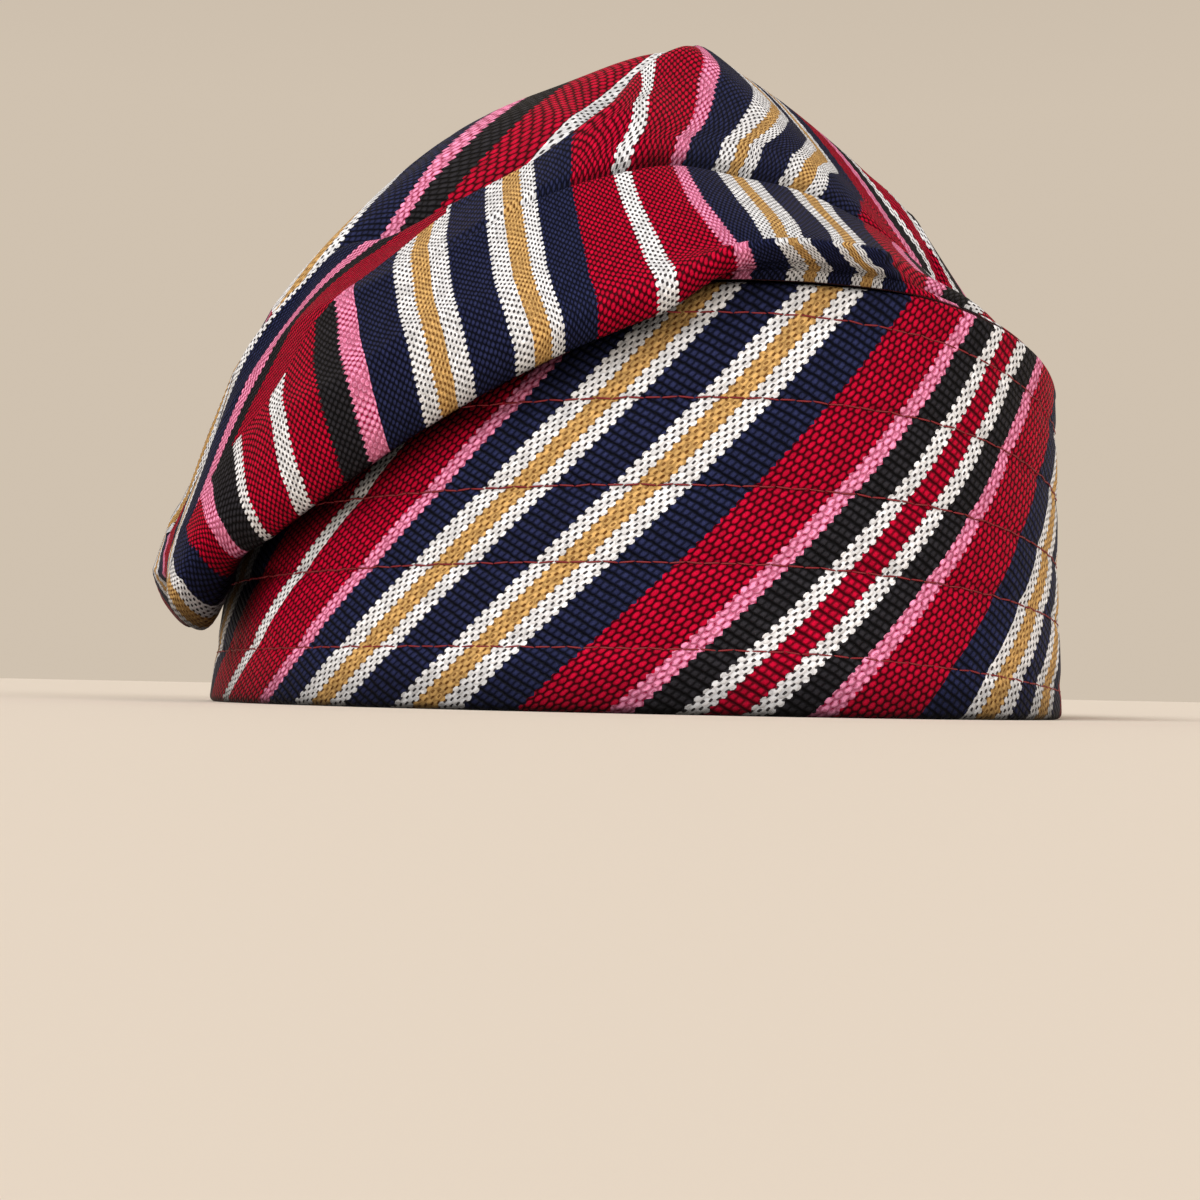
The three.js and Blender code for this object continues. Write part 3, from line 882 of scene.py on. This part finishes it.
def crown_cloth(bearing, place, middle):
    """Cloth places of the crown's three layers, in millimetres across and along their stripes."""
    steps = np.linalg.norm(np.diff(middle, axis=0), axis=-1)
    climb = np.concatenate([[0 * bearing], np.cumsum(steps, 0)])
    radius = climb[-1] - climb
    turn = np.radians(bearing - VIEW_BEARING)
    across, depth = -radius * np.sin(turn), radius * np.cos(turn)
    crease = np.array([np.interp(CREASE, place[:, k], climb[:, k]) for k in range(len(bearing))])
    begins, ends, slant = ROWS_SLANT
    along = (climb - crease) * np.where(climb > crease, FACET_ROWS, 1)
    along = along + slant * smooth(-bearing, begins, ends)
    back_along = BACK_GRAIN[0] * across + BACK_GRAIN[1] * depth
    return {
        "front": np.stack([front_chart(bearing + 0 * place, place), along], -1),
        "strip": laid_flat(STRIP_FLAT, across, depth),
        "back": np.stack([back_chart(spread(bearing, middle)), back_along], -1),
    }


def crown_layer(ring, bearing):
    """The layer that a face of the crown belongs to."""
    if ring >= FRONT_RINGS + STRIP_RINGS and bearing < BACK_ENDS:
        return "back"
    if bearing >= STRIP_ENDS or (ring >= FRONT_RINGS and bearing >= STRIP_STARTS):
        return "strip"
    return "front"


def make_crown(cloths, lining):
    """The crown's bag: outer face in each layer's cloth, inner face and edge in lining."""
    bearing = CROWN_SEAM_BEARING - 360 + 360 * np.arange(CROWN_STEPS + 1) / CROWN_STEPS
    place = crown_places(bearing)
    middle, way = run_through(crown_bends(bearing), place)
    normal = np.stack([way[..., 1], -way[..., 0]], -1)
    normal[0] = (1, 0)
    normal[-1] = (0, 1)
    middle = middle + normal * stands_out(bearing, place)[..., None]
    outer = spread(bearing, middle + normal * CLOTH / 2)
    inner = spread(bearing, middle - normal * CLOTH / 2)
    flat = crown_cloth(bearing, place, middle)

    rings = len(place) - 1
    inside = rings * CROWN_STEPS
    outer_pole, inner_pole = 2 * inside, 2 * inside + 1
    rows = [layer[:-1, :-1].reshape(-1, 3) for layer in (outer, inner)]
    points = [*rows[0], *rows[1], outer[-1, 0], inner[-1, 0]]
    names = list(cloths)
    faces, face_material, uv = [], [], []

    def add(corners, material, layer, spots):
        faces.append(corners)
        face_material.append(material)
        uv.append(flat[layer][[ring for ring, _ in spots], [step for _, step in spots]])

    for ring in range(rings):
        for step in range(CROWN_STEPS):
            after = (step + 1) % CROWN_STEPS
            layer = crown_layer(ring, bearing[step])
            cloth = names.index(layer)
            a, b = ring * CROWN_STEPS + step, ring * CROWN_STEPS + after
            spots = [(ring, step), (ring + 1, step), (ring + 1, step + 1), (ring, step + 1)]
            if ring < rings - 1:
                c, d = b + CROWN_STEPS, a + CROWN_STEPS
                add((a, d, c, b), cloth, layer, spots)
                add((inside + b, inside + c, inside + d, inside + a), len(names), layer, spots[::-1])
            else:
                at_pole = [spots[0], spots[1], spots[3]]
                add((a, outer_pole, b), cloth, layer, at_pole)
                add((inside + b, inner_pole, inside + a), len(names), layer, at_pole[::-1])
            if ring == 0:
                at_edge = [spots[0], spots[0], spots[3], spots[3]]
                add((inside + a, a, b, inside + b), len(names), layer, at_edge)
    return mesh_object("crown_cloth", points, faces, [*cloths.values(), lining], face_material, uv)


def make_floor():
    mesh = bpy.data.meshes.new("floor")
    corners = [(x * FLOOR_REACH, y * FLOOR_REACH, 0) for x, y in ((-1, -1), (1, -1), (1, 1), (-1, 1))]
    mesh.from_pydata(corners, [], [(0, 1, 2, 3)])
    mesh.materials.append(plain_material("floor", FLOOR_COLOUR, FLOOR_ROUGHNESS))
    floor = bpy.data.objects.new("floor", mesh)
    bpy.context.scene.collection.objects.link(floor)


def make_surround():
    """A pale surround that is dimmer overhead."""
    world = bpy.data.worlds.new("studio")
    world.use_nodes = True
    nodes, links = world.node_tree.nodes, world.node_tree.links
    background = nodes["Background"]
    background.inputs["Color"].default_value = linear(SURROUND_COLOUR)
    toward = nodes.new("ShaderNodeTexCoord")
    parts = nodes.new("ShaderNodeSeparateXYZ")
    dimmer = nodes.new("ShaderNodeMapRange")
    for name, value in zip(("From Min", "To Min", "From Max", "To Max"), SURROUND):
        dimmer.inputs[name].default_value = value
    links.new(toward.outputs["Generated"], parts.inputs[0])
    links.new(parts.outputs[2], dimmer.inputs["Value"])
    links.new(dimmer.outputs[0], background.inputs["Strength"])
    bpy.context.scene.world = world


def make_lamps():
    for name, bearing, climb, across, strength in LAMPS:
        light = bpy.data.lights.new(name, "SUN")
        light.angle = math.radians(across)
        light.energy = strength
        lamp = bpy.data.objects.new(name, light)
        dx, dy = heading(bearing)
        aim = Vector((-dx, -dy, -math.tan(math.radians(climb))))
        lamp.rotation_euler = aim.to_track_quat("-Z", "Y").to_euler()
        bpy.context.scene.collection.objects.link(lamp)


def make_camera():
    lens = bpy.data.cameras.new("view")
    lens.lens = LENS
    lens.sensor_width = SENSOR
    lens.shift_x, lens.shift_y = SHIFT
    lens.clip_start = LENS_NEAR
    camera = bpy.data.objects.new("view", lens)
    dx, dy = heading(VIEW_BEARING)
    stand = Vector((MIDDLE[0] + VIEW_DISTANCE * dx, MIDDLE[1] + VIEW_DISTANCE * dy, VIEW_HEIGHT)) * MM
    look = Vector((-dx, -dy, 0)).to_track_quat("-Z", "Y").to_matrix().to_4x4()
    camera.matrix_world = Matrix.Translation(stand) @ look @ Matrix.Rotation(VIEW_ROLL, 4, "Z")
    bpy.context.scene.collection.objects.link(camera)
    bpy.context.scene.camera = camera
    bpy.context.scene.view_settings.view_transform = "Standard"


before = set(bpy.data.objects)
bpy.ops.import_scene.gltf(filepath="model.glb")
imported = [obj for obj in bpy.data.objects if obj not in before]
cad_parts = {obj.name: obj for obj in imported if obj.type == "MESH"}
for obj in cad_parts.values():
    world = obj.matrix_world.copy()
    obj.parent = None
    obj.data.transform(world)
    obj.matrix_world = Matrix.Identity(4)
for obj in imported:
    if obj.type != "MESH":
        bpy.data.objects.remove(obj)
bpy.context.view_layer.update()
low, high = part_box("band")
MIDDLE = ((low.x + high.x) / 2 / MM, (low.y + high.y) / 2 / MM)

lining = plain_material("lining", LINING_COLOUR, LINING_ROUGHNESS)
thread = plain_material("thread", THREAD_COLOUR, THREAD_ROUGHNESS)
band = make_band(cloth_material("band_weave", BAND_CHART, "band"), lining)
stitches = make_stitches(thread)
crown = make_crown({
    "front": cloth_material("crown_weave", SIDE_CHART, "crown"),
    "strip": cloth_material("crown_strip_weave", STRIP_CHART, "crown"),
    "back": cloth_material("crown_back_weave", BACK_CHART, "back"),
}, lining)

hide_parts("band")
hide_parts("crown")

make_floor()
make_surround()
make_lamps()
make_camera()
